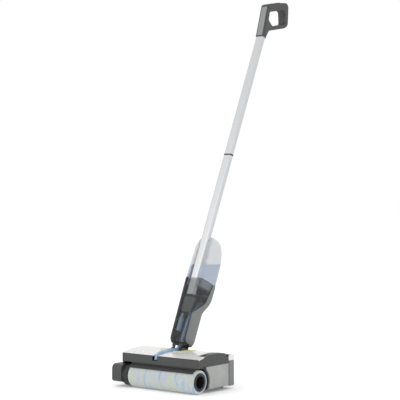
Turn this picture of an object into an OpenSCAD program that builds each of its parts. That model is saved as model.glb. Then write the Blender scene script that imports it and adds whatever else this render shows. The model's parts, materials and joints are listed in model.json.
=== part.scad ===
// Wet dry floor scrubber: a low floor head with a soft roller across its front, a jointed neck, a lower housing
// with a clear water tank, a two-piece tube and a closed loop handle.
// Origin: on the floor under the middle of the head. +X is to the right seen from the front, +Y points back
// towards the user, +Z up. The handle leans back at its resting angle.

/* [Head] */
// Width of the head
head_w = 275; // [265:1:290]
// Depth of the head without the roller
head_d = 166; // [160:1:175]
// Height of the underside above the floor
head_floor = 10; // [9:1:12]
// Height of the crown of the white cover
crown_z = 105; // [103:1:108]
// Radius of the cover's arch from front to back
crown_r = 300; // [260:5:400]
// Thickness of moulded walls
wall = 2.5; // [2:0.1:3]

/* [Roller] */
// Radius of the fleece
fleece_r = 33.5; // [32.5:0.1:34]
// Distance of the roller's axis in front of the origin
roller_y = 71.5; // [71:0.1:73]
// Left end of the fleece
fleece_x0 = -99; // [-100:1:-97]
// Right end of the fleece
fleece_x1 = 134.5; // [132:0.5:135]

/* [Handle] */
// Angle that the handle leans back at rest
lean = 24; // [20:1:27]
// Height of the tilt pivot
pivot_z = 88; // [87:0.5:89]
// Distance from the tilt pivot to the swing pin
swing_z = 38; // [37:0.5:39]
// Width of the oval tube
tube_w = 28.3; // [27:0.1:30]
// Depth of the oval tube
tube_d = 15; // [14:0.1:15.5]
// Distance from the pivot to the tube's lower end
tube_z0 = 172; // [171:1:173]
// Distance from the pivot to the joint between the two tubes
tube_z1 = 617; // [560:1:700]
// Distance from the pivot to the foot of the handle
tube_z2 = 1016; // [980:1:1060]

/* [Hoses] */
// Outer radius of the water hose
hose_r = 6.5; // [6:0.1:6.6]
// Radius of the motor lead
lead_r = 1.6; // [1.4:0.1:1.8]

/* [Hidden] */
$fn = 64;
roller_z = fleece_r;
half_w = head_w / 2;
front_y = -head_d / 2;
back_y = head_d / 2;
band_z = 71;
side_x = half_w - 3;
crown_y = -3;
core_r = 25;
core_bore = 21.5;
motor_r = 18.5;
motor_x1 = -20;
fit = 0.05;
gap = 0.3;
tunnel_r = 38;
wheel_r = 9.8;
wheel_y = 67;
wheel_x = 98;
bay_x = 40;
panel_x = half_w - 3.5;
tube_y = -17;
loop_w = 28;
white = [0.9, 0.9, 0.89];
dark = [0.27, 0.28, 0.28];
mid = [0.45, 0.46, 0.45];
black = [0.1, 0.1, 0.11];
yellow = [0.83, 0.83, 0.55];
clear = [0.75, 0.85, 0.92, 0.4];
smoke = [0.3, 0.32, 0.33, 0.45];
steel = [0.6, 0.61, 0.63];

nozzle_xs = [for (i = [-4 : 4]) i * 27 + 9];
nozzle_y = -77.5;
hood_r = fleece_r + 0.9;
hood_low = 57.5;
strut_turn = 6.9;
guard_r = 23.2;
bumper_screw_xs = [-112, -60, 60, 112];
bumper_screw_z = 45;
cover_screws = [[-97, 21], [-54.5, 57]];

// Routes of the water hose and of the motor lead, in the handle's frame above the neck and in the head's below
hose_in_wand = [[0, 36, 172], [0, 33, 164], [0, 20, 146], [0, 8, 128], [0, 2, 105], [0, 0, 80], [0, -1, 55], [0, -1, 45]];
hose_in_neck = [[0, 17, 128.6], [0, 11.3, 115.8], [0, 4, 109], [-0.5, -6, 106], [-1.5, -18, 105], [-3.3, -29, 104.5]];
hose_in_head = [
    [-3.5, -30, 104.5], [-7.5, -45, 102.8], [-12, -60, 100.5], [-14, -67.5, 97.5], [-15.4, -72.8, 92.5],
    [-16, -74.8, 87], [-16, -74.8, 81.6]
];
lead_in_wand = [[-7, -9, 125], [-8, -1, 116], [-10, 4, 98], [-10, 5, 70], [-10, 5, 44.8]];
lead_in_neck = [[-10, 22.5, 126.2], [-11, 16.8, 113.4], [-11.5, 9.2, 101.4], [-11.5, 1.2, 90.7], [-11.5, -3, 80], [-12, -5.7, 71]];
lead_in_head = [
    [-12, -6, 70], [-16, -14, 62], [-26, -20, 57], [-45, -21, 56], [-90, -21, 56], [-118, -21, 55],
    [-127, -23.5, 53.5], [-129, -32, 52], [-129, -44, 51], [-129, -55, 50]
];

// ---- helpers ----

// Extrudes an outline drawn in (y, z) from x0 to x1
module along_x(x0, x1) {
    translate([x0, 0, 0])
        rotate([90, 0, 90])
            linear_extrude(x1 - x0)
                children();
}

// Extrudes an outline drawn in (x, z) from y0 to y1
module along_y(y0, y1) {
    translate([0, y1, 0])
        rotate([90, 0, 0])
            linear_extrude(y1 - y0)
                children();
}

// Extrudes an outline drawn in (x, y) from z0 to z1
module along_z(z0, z1) {
    translate([0, 0, z0])
        linear_extrude(z1 - z0)
            children();
}

// Places what is modelled upright about the tilt pivot at the handle's resting lean
module on_handle() {
    translate([0, 0, pivot_z])
        rotate([-lean, 0, 0])
            children();
}

// Cylinder along X about the roller's axis
module about_roller(x0, x1, r) {
    translate([x0, -roller_y, roller_z])
        rotate([0, 90, 0])
            cylinder(h = x1 - x0, r = r);
}

// A block given by its two corners
module block(a, b) {
    translate(a)
        cube(b - a);
}

// The turn from direction a to direction b the short way round
function turn(a, b) = (b - a > 180) ? b - a - 360 : (b - a < -180) ? b - a + 360 : b - a;

// The arc that rounds corner q between p and s, where q is [x, y, radius]
function corner(p, q, s, steps) =
    let(
        u = [p[0] - q[0], p[1] - q[1]],
        v = [s[0] - q[0], s[1] - q[1]],
        un = u / norm(u),
        vn = v / norm(v),
        half = acos(un * vn) / 2,
        mid_n = (un + vn) / norm(un + vn),
        c = [q[0], q[1]] + mid_n * q[2] / sin(half),
        from = [q[0], q[1]] + un * q[2] / tan(half) - c,
        to = [q[0], q[1]] + vn * q[2] / tan(half) - c,
        a0 = atan2(from[1], from[0]),
        sweep = turn(a0, atan2(to[1], to[0]))
    )
    [for (k = [0 : steps]) c + q[2] * [cos(a0 + sweep * k / steps), sin(a0 + sweep * k / steps)]];

// A closed outline with rounded corners, each point being [x, y, radius]
function rounded(p, steps = 8) =
    [for (i = [0 : len(p) - 1])
        let(before = p[(i + len(p) - 1) % len(p)], after = p[(i + 1) % len(p)])
        each (p[i][2] <= 0) ? [[p[i][0], p[i][1]]] : corner(before, p[i], after, steps)];

// A rectangle with round corners
function box_outline(x0, x1, y0, y1, r, steps = 8) =
    rounded([[x0, y0, r], [x1, y0, r], [x1, y1, r], [x0, y1, r]], steps);

// A solid through a stack of rounded rectangles, each given as [z, x0, x1, y0, y1, radius]
module loft(sections, steps = 6) {
    n = 4 * (steps + 1);
    rings = [for (s = sections) [for (p = box_outline(s[1], s[2], s[3], s[4], s[5], steps)) [p[0], p[1], s[0]]]];
    sides = [for (i = [0 : len(sections) - 2], j = [0 : n - 1])
        let(a = i * n + j, b = i * n + (j + 1) % n)
        each [[a, b + n, b], [a, a + n, b + n]]];
    last = (len(sections) - 1) * n;
    polyhedron(
        points = [for (r = rings) each r],
        faces = concat(sides, [[for (j = [0 : n - 1]) j]], [[for (j = [n - 1 : -1 : 0]) last + j]])
    );
}

// The same stack of sections with its walls moved in by t
function inset(sections, t) = [for (s = sections) [s[0], s[1] + t, s[2] - t, s[3] + t, s[4] - t, max(s[5] - t, 1)]];

// A smooth curve through the points of a route
function spline_point(p, i, t) =
    let(
        a = p[max(i - 1, 0)],
        b = p[i],
        c = p[i + 1],
        d = p[min(i + 2, len(p) - 1)]
    )
    0.5 * ((2 * b) + (c - a) * t + (2 * a - 5 * b + 4 * c - d) * t * t + (3 * b - a - 3 * c + d) * t * t * t);
function smooth(p, n) =
    concat([for (i = [0 : len(p) - 2], k = [0 : n - 1]) spline_point(p, i, k / n)], [p[len(p) - 1]]);

// A tube of radius r swept along a route that runs mostly in a plane of constant x
module sweep(route, r, sides = 12, steps = 3) {
    p = smooth(route, steps);
    m = len(p);
    dir = [for (i = [0 : m - 1]) p[min(i + 1, m - 1)] - p[max(i - 1, 0)]];
    rings = [for (i = [0 : m - 1])
        let(t = dir[i] / norm(dir[i]), across = cross(t, [0.2, 0.6, 0.77]), u = across / norm(across), v = cross(t, u))
        [for (k = [0 : sides - 1]) p[i] + r * (u * cos(360 * k / sides) + v * sin(360 * k / sides))]];
    quads = [for (i = [0 : m - 2], j = [0 : sides - 1])
        let(a = i * sides + j, b = i * sides + (j + 1) % sides)
        each [[a, b, b + sides], [a, b + sides, a + sides]]];
    last = (m - 1) * sides;
    polyhedron(
        points = [for (g = rings) each g],
        faces = concat(quads, [[for (j = [sides - 1 : -1 : 0]) j]], [[for (j = [0 : sides - 1]) last + j]])
    );
}

// ---- outlines of the head ----

// Plan of the head, moved in by t
module head_plan(t = 0) {
    polygon(rounded([
        [-half_w + t, front_y + t, 2.5],
        [half_w - t, front_y + t, 2.5],
        [half_w - t, back_y - t, 6],
        [-half_w + t, back_y - t, 6]
    ]));
}

// Everything in the (y, z) plane under the crown, moved down by t
module under_crown(t = 0) {
    translate([crown_y, crown_z - crown_r])
        circle(r = crown_r - t, $fn = 360);
}

// The opening for the neck in plan, moved out by t: narrow round the neck, wider behind for the leaning handle
module neck_opening(t = 0) {
    polygon(rounded([
        [-26 - t, -22 - t, 10 + t],
        [26 + t, -22 - t, 10 + t],
        [26 + t, 18, 0],
        [37 + t, 42, 0],
        [37 + t, back_y + 5, 0],
        [-37 - t, back_y + 5, 0],
        [-37 - t, 42, 0],
        [-26 - t, 18, 0]
    ]));
}

// The arched plate at the right end in (y, z), moved out by t
module arch(t = 0) {
    intersection() {
        polygon(rounded([
            [-59 - t, 73 - t, 1],
            [54 + t, 73 - t, 1],
            [54 + t, 86 + t, 5],
            [30, crown_z + 2, 24],
            [-40, crown_z + 3, 10],
            [-59 - t, 97 + t, 2]
        ]));
        under_crown(-t);
    }
}

// ---- floor head ----

module chassis() {
    color(dark)
        difference() {
            union() {
                intersection() {
                    chassis_walls();
                    along_z(0, crown_z)
                        head_plan(3);
                }
                along_x(-half_w, -side_x + 0.5)
                    left_side();
                // Bosses for the screws of the rear bumper
                for (x = bumper_screw_xs)
                    along_y(back_y - 12, back_y - 5)
                        translate([x, bumper_screw_z])
                            circle(r = 4);
            }
            // Openings in the floor for the wheels
            for (s = [-1, 1])
                block([s * wheel_x - 10.5, 56.6, 0], [s * wheel_x + 10.5, 77.2, 23]);
            // Holes for the axle pins
            for (s = [-1, 1])
                translate([s * wheel_x - 15, wheel_y, wheel_r])
                    rotate([0, 90, 0])
                        cylinder(h = 30, r = 2, $fn = 32);
            // Room for the front panel of the waste tank
            along_x(panel_x - 0.8, half_w + 1)
                panel_outline(0.3);
            // Slot that lets dirty water into the tank
            block([bay_x + 8, -42, 40], [side_x - 6, -28, 48]);
            // Holes for the nozzles
            for (x = nozzle_xs)
                translate([x, nozzle_y, 60])
                    cylinder(h = 20, r = 2.4, $fn = 24);
            // Way for the motor lead
            translate([-129, -46, 51.5])
                rotate([-90, 0, 0])
                    cylinder(h = 20, r = 2.6, $fn = 24);
            for (x = bumper_screw_xs)
                along_y(back_y - 11, back_y)
                    translate([x, bumper_screw_z])
                        circle(r = 1.52, $fn = 24);
        }
}

module chassis_walls() {
    // Arched wall over the roller
    along_x(-side_x, side_x)
        intersection() {
            translate([-roller_y, roller_z])
                difference() {
                    circle(r = tunnel_r + wall);
                    circle(r = tunnel_r);
                }
            translate([front_y + 3, head_floor])
                square([60, 80]);
        }
    // Floor, back wall and the strip behind the tank
    block([-side_x, -41, head_floor], [side_x, back_y - 3.2, head_floor + wall]);
    block([-side_x, back_y - 5.7, head_floor], [side_x, back_y - 3.2, 79.4]);
    block([side_x - wall, 56, head_floor], [side_x, back_y - 3.2, 78]);
    // Bay for the waste tank
    block([bay_x - wall, -29, head_floor], [bay_x, 56.5, 75]);
    block([bay_x - wall, 54.5, head_floor], [side_x, 56.5, 75]);
    block([bay_x - wall, -36, 73.5], [half_w - 11, 56.5, 75.5]);
    // Lugs on either side of each wheel
    for (s = [-1, 1])
        for (e = [-1, 1])
            block([s * wheel_x + e * 12 - 1.5, wheel_y - 8, 6], [s * wheel_x + e * 12 + 1.5, wheel_y + 8, 22]);
}

// Outline of the left side with the end housing taken out
module left_side() {
    difference() {
        intersection() {
            translate([front_y + 3.2, head_floor])
                square([54.2 - front_y - 3.2, crown_z]);
            under_crown(wall + 0.1);
        }
        polygon(rounded(housing_points(0.05)));
        // Room for the return of the front frame
        translate([front_y, band_z - 0.2])
            square([24, 40]);
    }
}

// Corners of the motor's end housing in (y, z), moved out by t
function housing_points(t) = [
    [-104 - t, 14 - t, 9 + t],
    [-48 + t, 14 - t, 6 + t],
    [-48 + t, 64 + t, 6 + t],
    [-104 - t, 64 + t, 14 + t]
];

module front_frame() {
    color(dark)
        difference() {
            intersection() {
                difference() {
                    along_z(band_z, 96)
                        head_plan();
                    along_z(band_z - 1, 97)
                        head_plan(2.8);
                    block([-half_w - 1, -59.4, 0], [half_w + 1, 100, 100]);
                }
                union() {
                    along_x(-half_w, half_w)
                        intersection() {
                            under_crown(0);
                            translate([front_y, 0])
                                square([2.9, crown_z]);
                        }
                    along_x(-half_w, half_w)
                        under_crown(wall + 0.1);
                }
            }
            // Notch where the hose comes over the edge
            block([-25, front_y - 1, 80.4], [-7, front_y + 4, 100]);
        }
}

module top_cover() {
    color(white) {
        difference() {
            intersection() {
                union() {
                    along_x(-half_w, half_w)
                        difference() {
                            under_crown(0);
                            under_crown(wall);
                        }
                    // Skirt at the back and round the back corners
                    difference() {
                        along_z(80, 95)
                            head_plan();
                        along_z(79, 96)
                            head_plan(wall);
                        block([-half_w - 1, front_y - 1, 79], [half_w + 1, 54.6, 96]);
                    }
                }
                along_z(80, crown_z + 1)
                    head_plan();
                along_x(-half_w, half_w)
                    under_crown(0);
            }
            block([-half_w - 1, front_y - 1, 0], [half_w + 1, front_y + 3, crown_z]);
            along_z(83.5, crown_z + 5)
                neck_opening(2.1);
            along_x(112, half_w + 1)
                arch(0.4);
            bezel_place(0.2);
            channel_cut();
        }
        channel_lining();
    }
}

// Space of the oval bezel, grown by t
module bezel_place(t) {
    intersection() {
        along_z(crown_z - 4, crown_z + 3)
            polygon(rounded([[-52 - t, -29 - t, 22], [52 + t, -29 - t, 22], [52 + t, 31 + t, 20], [-52 - t, 31 + t, 20]]));
        along_x(-60, 60)
            difference() {
                under_crown(-1.2);
                under_crown(1.2 + t);
            }
    }
}

module joint_bezel() {
    color(yellow)
        difference() {
            union() {
                bezel_place(0);
                block([-12, -28.8, 93], [6.4, -24.2, 103.5]);
            }
            along_z(80, crown_z + 6)
                neck_opening(2.1);
            // Trough under the hose
            translate([-2.8, -20, 104.7])
                rotate([90, 0, 0])
                    cylinder(h = 12, r = 7.4, $fn = 48);
        }
}

// Lining of the opening behind the neck, with a floor that the leaning handle clears
module neck_well() {
    color(dark)
        difference() {
            intersection() {
                union() {
                    difference() {
                        along_z(79.5, crown_z)
                            neck_opening(2);
                        along_z(78, crown_z + 1)
                            neck_opening(0);
                    }
                    intersection() {
                        along_z(79.5, 81.5)
                            neck_opening(2);
                        block([-50, 20, 70], [50, back_y, 90]);
                    }
                }
                along_z(70, crown_z)
                    head_plan(wall + 0.1);
                along_x(-60, 60)
                    under_crown(1.4);
            }
            channel_cut();
            // Holes for the tilt pins
            translate([-60, 0, pivot_z])
                rotate([0, 90, 0])
                    cylinder(h = 120, r = 6);
        }
}

// The open channel that the hose lies in runs forward and a little to the left
channel_turn = -15;
channel_w = 17;
channel_slope = 96;
module along_channel() {
    translate([-1.5, -22.5, 0])
        rotate([0, 0, channel_turn])
            children();
}

module channel_cut() {
    along_channel()
        block([-channel_w / 2 - 0.1, -64, 84], [channel_w / 2 + 0.1, 3, crown_z + 5]);
}

module channel_lining() {
    difference() {
        intersection() {
            along_channel()
                difference() {
                    block([-channel_w / 2 - 0.5, -56, 88], [channel_w / 2 + 0.5, -9.5, crown_z]);
                    translate([0, 1, 104.6])
                        rotate([channel_slope, 0, 0])
                            cylinder(h = 70, r = hose_r + 0.5, $fn = 48);
                }
            along_x(-60, 60)
                difference() {
                    under_crown(0);
                    under_crown(12);
                }
        }
        block([-60, front_y - 1, 80], [60, front_y + 22, 110]);
    }
}

module rear_bumper() {
    color(mid)
        difference() {
            intersection() {
                along_z(9, 79.6)
                    head_plan(0);
                along_x(-half_w, half_w)
                    polygon(rounded([[40, 9, 0], [back_y, 9, 7], [back_y, 79.6, 0], [40, 79.6, 0]]));
            }
            along_z(8, 81)
                head_plan(2.9);
            block([-half_w - 1, 30, 8], [half_w + 1, 57, 81]);
            for (x = bumper_screw_xs) {
                along_y(back_y - 2.1, back_y + 1)
                    translate([x, bumper_screw_z])
                        circle(r = 3.1, $fn = 32);
                along_y(back_y - 5, back_y)
                    translate([x, bumper_screw_z])
                        circle(r = 1.6, $fn = 24);
            }
        }
}

module end_housing() {
    color(dark)
        difference() {
            union() {
                difference() {
                    along_x(-157, -122)
                        polygon(rounded(housing_points(0)));
                    along_x(-154.5, -125)
                        polygon(rounded(housing_points(-2.5)));
                    along_x(-158, -154)
                        polygon(rounded(housing_points(-1.5)));
                }
                for (p = cover_screws)
                    along_x(-154.5, -124)
                        translate(p)
                            circle(r = 3.6, $fn = 32);
            }
            about_roller(-149, -121, motor_r + 0.05);
            for (p = cover_screws)
                along_x(-156, -146)
                    translate(p)
                        circle(r = 1.52, $fn = 24);
            // Way for the motor lead
            translate([-129, -54, 50])
                rotate([-90, 0, 0])
                    cylinder(h = 10, r = 2.4, $fn = 24);
        }
}

module end_cover() {
    color(mid)
        difference() {
            along_x(-157, -154.5)
                polygon(rounded(housing_points(-1.6)));
            for (p = cover_screws) {
                along_x(-158, -155.7)
                    translate(p)
                        circle(r = 2.9, $fn = 32);
                along_x(-158, -154)
                    translate(p)
                        circle(r = 1.6, $fn = 24);
            }
        }
}

module roller_guard() {
    color(black)
        difference() {
            about_roller(-122, -101.5, 30.5);
            about_roller(-123, -101, motor_r + 0.02);
            about_roller(-119, -104, 28);
        }
}

module tilt_bearings() {
    color(black)
        for (s = [-1, 1])
            difference() {
                along_x(s * 33.5 - 5, s * 33.5 + (s > 0 ? 3.5 : 5))
                    polygon(rounded([[-15, head_floor + wall, 0], [15, head_floor + wall, 0], [9, 80, 3], [9, 97, 8], [-9, 97, 8], [-9, 80, 3]]));
                translate([s * 33.5 - 6, 0, pivot_z])
                    rotate([0, 90, 0])
                        cylinder(h = 12, r = 5 + fit);
            }
}

module roller_motor() {
    color(steel) {
        about_roller(-148, motor_x1, motor_r);
        about_roller(-152, -148, 9);
    }
}

module motor_gearbox() {
    color(mid)
        difference() {
            about_roller(motor_x1, -2, motor_r);
            about_roller(-18, -1, 4 + fit);
        }
}

module roller_bearing() {
    color([0.85, 0.83, 0.75])
        difference() {
            about_roller(-98, -88, core_bore - fit);
            about_roller(-99, -87, motor_r);
        }
}

// Black hood over the upper front of the roller, with a row of small holes
module roller_hood() {
    color(black)
        difference() {
            along_x(fleece_x0 - 1, 129)
                difference() {
                    union() {
                        intersection() {
                            translate([-roller_y, roller_z])
                                circle(r = hood_r + 2);
                            translate([-roller_y, roller_z])
                                rotate(90)
                                    polygon([[0, 0], [50, -8], [50, 50], [0.001, 0]]);
                            translate([front_y - 30, hood_low])
                                square([60, 40]);
                        }
                        translate([front_y + 0.2, 60])
                            square([2.4, band_z - 0.1 - 60]);
                    }
                    translate([-roller_y, roller_z])
                        circle(r = hood_r);
                }
            for (x = nozzle_xs)
                translate([x, -roller_y, roller_z])
                    rotate([32, 0, 0])
                        cylinder(h = 45, r = 1.2, $fn = 24);
            // Room for the nozzles
            for (x = nozzle_xs)
                translate([x, nozzle_y, hood_low])
                    cylinder(h = 20, r = 2.4, $fn = 32);
        }
}

module scraper() {
    color([0.35, 0.36, 0.38])
        along_x(-97, 132)
            translate([-roller_y, roller_z])
                rotate(36)
                    polygon([[fleece_r + gap, -0.6], [tunnel_r - 0.1, -2.5], [tunnel_r - 0.1, 1.8], [fleece_r + gap + 1, 0.6]]);
}

module water_distributor() {
    color([0.3, 0.32, 0.34])
        difference() {
            block([-122, -79.8, 74.5], [126, -68, 85]);
            translate([-118, -75.2, 77.7])
                rotate([0, 90, 0])
                    cylinder(h = 240, r = 2.3, $fn = 32);
            for (x = nozzle_xs)
                translate([x, nozzle_y, 74])
                    cylinder(h = 4, r = 1.2, $fn = 24);
            // Seat of the hose's gland
            block([-24, -80, 80.6], [-8, -66.7, 86]);
            translate([-16, -74.8, 77])
                cylinder(h = 5, r = 2, $fn = 24);
        }
}

module spray_nozzles() {
    color([0.75, 0.78, 0.8])
        for (x = nozzle_xs)
            translate([x, nozzle_y, 67.9])
                difference() {
                    cylinder(h = 6.6, r = 2.2, $fn = 24);
                    translate([0, 0, -1])
                        cylinder(h = 9, r = 0.6, $fn = 24);
                }
}

module hose_gland() {
    color([0.2, 0.2, 0.21])
        translate([-16, -74.8, 80.6])
            difference() {
                union() {
                    cylinder(h = 3.4, r = 7.5, $fn = 48);
                    cylinder(h = 1.2, r = 7.9, $fn = 48);
                }
                translate([0, 0, 1])
                    cylinder(h = 3, r = hose_r + 0.1, $fn = 48);
                translate([0, 0, -1])
                    cylinder(h = 3, r = 2, $fn = 24);
            }
}

module head_hose() {
    color(clear)
        sweep(hose_in_head, hose_r);
}

module head_lead() {
    color(black)
        sweep(lead_in_head, lead_r, 8);
}

module axle_pins() {
    color(steel)
        for (s = [-1, 1])
            translate([s * wheel_x - 13.5, wheel_y, wheel_r])
                rotate([0, 90, 0])
                    cylinder(h = 27, r = 2, $fn = 32);
}

// Screws of the rear bumper and of the end cover
module head_screws() {
    color(steel) {
        for (x = bumper_screw_xs)
            translate([x, back_y - 0.2, bumper_screw_z])
                rotate([90, 0, 0])
                    screw(3, 1.5, 10);
        for (p = cover_screws)
            translate([-157.2, p[0], p[1]])
                rotate([0, 90, 0])
                    screw(2.8, 1.5, 9);
    }
}

// A screw with its head down: head radius, shank radius, length
module screw(head, shank, length) {
    difference() {
        cylinder(h = 1.8, r = head, $fn = 24);
        translate([0, 0, -0.1])
            cylinder(h = 1.1, r = 1.2, $fn = 6);
    }
    translate([0, 0, 1.7])
        cylinder(h = length - 1.7, r = shank, $fn = 24);
}

// ---- roller and wheels ----

module drive_hub() {
    color(steel)
        translate([0, -roller_y, roller_z])
            rotate([0, 90, 0]) {
                translate([0, 0, -17])
                    cylinder(h = 17, r = 4, $fn = 48);
                translate([0, 0, -1.6])
                    cylinder(h = 3.6, r = 11, $fn = 48);
                translate([0, 0, 1])
                    cylinder(h = 21, r = 7, $fn = 6);
            }
}

module roller_core() {
    color(black)
        difference() {
            about_roller(fleece_x0, fleece_x1 - 1.5, core_r);
            about_roller(fleece_x0 - 1, 6, core_bore);
            about_roller(16, fleece_x1 + 1, core_bore);
            translate([5, -roller_y, roller_z])
                rotate([0, 90, 0])
                    cylinder(h = 12, r = 7.3, $fn = 6);
        }
}

module roller_fleece() {
    color([0.75, 0.8, 0.86])
        difference() {
            about_roller(fleece_x0, fleece_x1, fleece_r);
            about_roller(fleece_x0 - 1, fleece_x1 + 1, core_r);
        }
}

module roller_end_cap() {
    color([0.08, 0.1, 0.14])
        difference() {
            union() {
                about_roller(108, fleece_x1 - 1.5, core_bore - 0.02);
                about_roller(fleece_x1 - 1.5, fleece_x1 + 1, core_r - 0.02);
            }
            about_roller(111, fleece_x1 + 2, 17.5);
        }
}

module wheel(x) {
    color(black)
        translate([x, wheel_y, wheel_r])
            rotate([0, 90, 0])
                difference() {
                    union() {
                        translate([0, 0, -7])
                            cylinder(h = 14, r = wheel_r, $fn = 96);
                        translate([0, 0, -10])
                            cylinder(h = 20, r = 5);
                    }
                    for (z = [-7.5, 4])
                        translate([0, 0, z])
                            difference() {
                                cylinder(h = 3.5, r = 7.8);
                                translate([0, 0, -1])
                                    cylinder(h = 6, r = 5);
                            }
                    translate([0, 0, -11])
                        cylinder(h = 22, r = 2 + fit, $fn = 32);
                }
}

module wheel_left() {
    wheel(-wheel_x);
}

module wheel_right() {
    wheel(wheel_x);
}

// ---- waste tank ----

// The tank's outer panel in (y, z), moved out by t
module panel_outline(t = 0) {
    difference() {
        polygon(rounded([[-45 - t, 11 - t, 0], [54 + t, 11 - t, 3], [54 + t, 72.4 + t, 0], [-45 - t, 72.4 + t, 0]]));
        translate([-roller_y, roller_z])
            circle(r = tunnel_r + 3.4 - t);
        translate([-roller_y, 0])
            square([30, roller_z]);
    }
}

module waste_tank() {
    color([0.75, 0.76, 0.75, 0.6])
        difference() {
            union() {
                block([bay_x + 1, -27.5, 14], [panel_x, 53, 69]);
                along_x(panel_x - 0.5, half_w)
                    panel_outline();
            }
            block([bay_x + 3, -25.5, 16], [panel_x - 0.5, 51, 70]);
            // Inlet behind the scraper
            block([bay_x + 10, -28, 40], [panel_x - 8, -25, 48]);
        }
}

module waste_tank_lid() {
    color(dark)
        difference() {
            union() {
                block([bay_x + 1, -27.5, 69], [panel_x - 0.6, 53, 71]);
                block([bay_x + 3.2, -25.3, 66], [panel_x - 0.7, 50.8, 69]);
            }
            block([bay_x + 5.2, -23.3, 65], [panel_x - 3, 48.8, 69]);
        }
}

module tank_grip() {
    color(dark)
        difference() {
            union() {
                along_x(half_w - 10, half_w)
                    arch(0);
                block([half_w - 10, -27, 72.4], [half_w, 53, 75]);
                block([half_w - 10, -27, 71], [panel_x - 0.6, 53, 74]);
            }
            along_x(half_w - 11, half_w - 2.5)
                arch(-2.5);
        }
}

// ---- neck ----

module neck_knuckle() {
    color(dark)
        on_handle()
            difference() {
                union() {
                    // Two cheeks round the tilt pins
                    for (s = [-1, 1])
                        along_x(s * 19 - 3, s * 19 + 3)
                            polygon(rounded([[-12, -12, 11.9], [12, -12, 11.9], [12, 21.5, 2], [-12, 21.5, 2]]));
                    // Web behind the hose and the ear for the swing pin
                    block([-17, 9, -8], [17, 12.9, 20]);
                    along_y(9, 13) {
                        polygon([[-13, 0], [13, 0], [12, swing_z], [-12, swing_z]]);
                        translate([0, swing_z])
                            circle(r = 12);
                    }
                }
                // Saddle that the lower end of the housing swings in
                translate([0, 8.9, swing_z])
                    rotate([90, 0, 0])
                        cylinder(h = 30, r = 24);
                // Seats of the pins
                translate([-30, 0, 0])
                    rotate([0, 90, 0])
                        cylinder(h = 60, r = 5);
                translate([0, 8, swing_z])
                    rotate([-90, 0, 0])
                        cylinder(h = 6, r = 5);
            }
}

module tilt_pins() {
    color(steel)
        on_handle()
            for (s = [-1, 1])
                translate([s * 25.75 - 11, 0, 0])
                    rotate([0, 90, 0])
                        cylinder(h = 22, r = 5);
}

module swing_pin() {
    color(steel)
        on_handle()
            translate([0, 6, swing_z])
                rotate([-90, 0, 0]) {
                    cylinder(h = 3, r = 8);
                    cylinder(h = 11.4, r = 5);
                }
}

module neck_hose() {
    color(clear)
        sweep(hose_in_neck, hose_r);
}

module neck_lead() {
    color(black)
        sweep(lead_in_neck, lead_r, 8);
}

// ---- lower housing ----

// Outside of the lower housing as [z, x0, x1, y0, y1, radius]
casing = [
    [33, -26, 26, -18, 20, 8],
    [37, -28, 28, -22, 22, 10],
    [46, -30.5, 30.5, -25, 24, 11],
    [60, -31, 31, -26, 25, 12],
    [125, -31, 31, -27, 25, 12],
    [138, -31, 31, -27.3, 28, 12],
    [150, -31, 31, -27.6, 35, 12],
    [166, -31, 31, -28, 45.5, 12],
    [176, -31, 31, -28.2, 49.5, 12],
    [190, -31, 31, -28.5, 51.5, 12],
    [226, -31, 31, -29, 52, 12]
];

// The housing's shell, open at the top and at the bottom
module casing_shell() {
    inner = inset(casing, wall);
    first = inner[0];
    last = inner[len(inner) - 1];
    difference() {
        loft(casing);
        loft(concat(
            [[32, first[1], first[2], first[3], first[4], first[5]]],
            inner,
            [[227, last[1], last[2], last[3], last[4], last[5]]]
        ));
    }
}

// The part of the shell that the see-through cover takes: the front and right, ahead of the seam
module window_zone() {
    along_x(-18, 32)
        polygon([[-35, 30], [3, 30], [8, 60], [8, 130], [22, 170], [34, 227], [-35, 227]]);
}

module rear_casing() {
    color(mid)
        on_handle()
            difference() {
                union() {
                    difference() {
                        casing_shell();
                        window_zone();
                    }
                    // Cross wall that carries the tank's valve seat
                    intersection() {
                        loft(casing);
                        block([-30, 17, 186], [30, 51, 188.5]);
                    }
                }
                intersection() {
                    casing_shell();
                    window_zone();
                }
                translate([0, 36, 180])
                    cylinder(h = 20, r = 13.1);
                translate([0, 40, 76])
                    rotate([90, 0, 0])
                        cylinder(h = 30, r = 6.02);
                for (p = casing_screw_places)
                    translate([p[0], 27, p[1]])
                        rotate([90, 0, 0]) {
                            cylinder(h = 4.1, r = 2.8, $fn = 32);
                            cylinder(h = 8, r = 1.4, $fn = 24);
                        }
            }
}

module front_cover() {
    color(smoke)
        on_handle()
            intersection() {
                casing_shell();
                translate([0.05, -0.05, 0])
                    window_zone();
            }
}

casing_screw_places = [[-7, 54], [7, 54], [-7, 62], [7, 62]];

module swing_socket() {
    color(black)
        on_handle()
            difference() {
                union() {
                    along_y(13.3, 16.8)
                        polygon(rounded([[-13, 31.2, 5], [13, 31.2, 5], [13, 67, 3], [-13, 67, 3]]));
                    block([-11, 16.5, 47], [11, 21.3, 67]);
                    along_y(13.3, 16.8)
                        intersection() {
                            translate([0, swing_z])
                                circle(r = guard_r);
                            translate([-15, 20])
                                square([30, 16]);
                        }
                    swing_guard();
                }
                translate([0, 30, swing_z])
                    rotate([90, 0, 0])
                        cylinder(h = 30, r = 5 + fit);
                for (p = casing_screw_places)
                    translate([p[0], 22, p[1]])
                        rotate([90, 0, 0])
                            cylinder(h = 12, r = 1.32, $fn = 24);
            }
}

// Rounded lower end that hides the swing joint from the front, open for the hose
module swing_guard() {
    along_y(-15.4, -13)
        difference() {
            intersection() {
                translate([0, swing_z])
                    circle(r = guard_r);
                translate([-19, 10])
                    square([38, 27]);
            }
            translate([-8, 9])
                square([16, 22]);
        }
}

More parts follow.
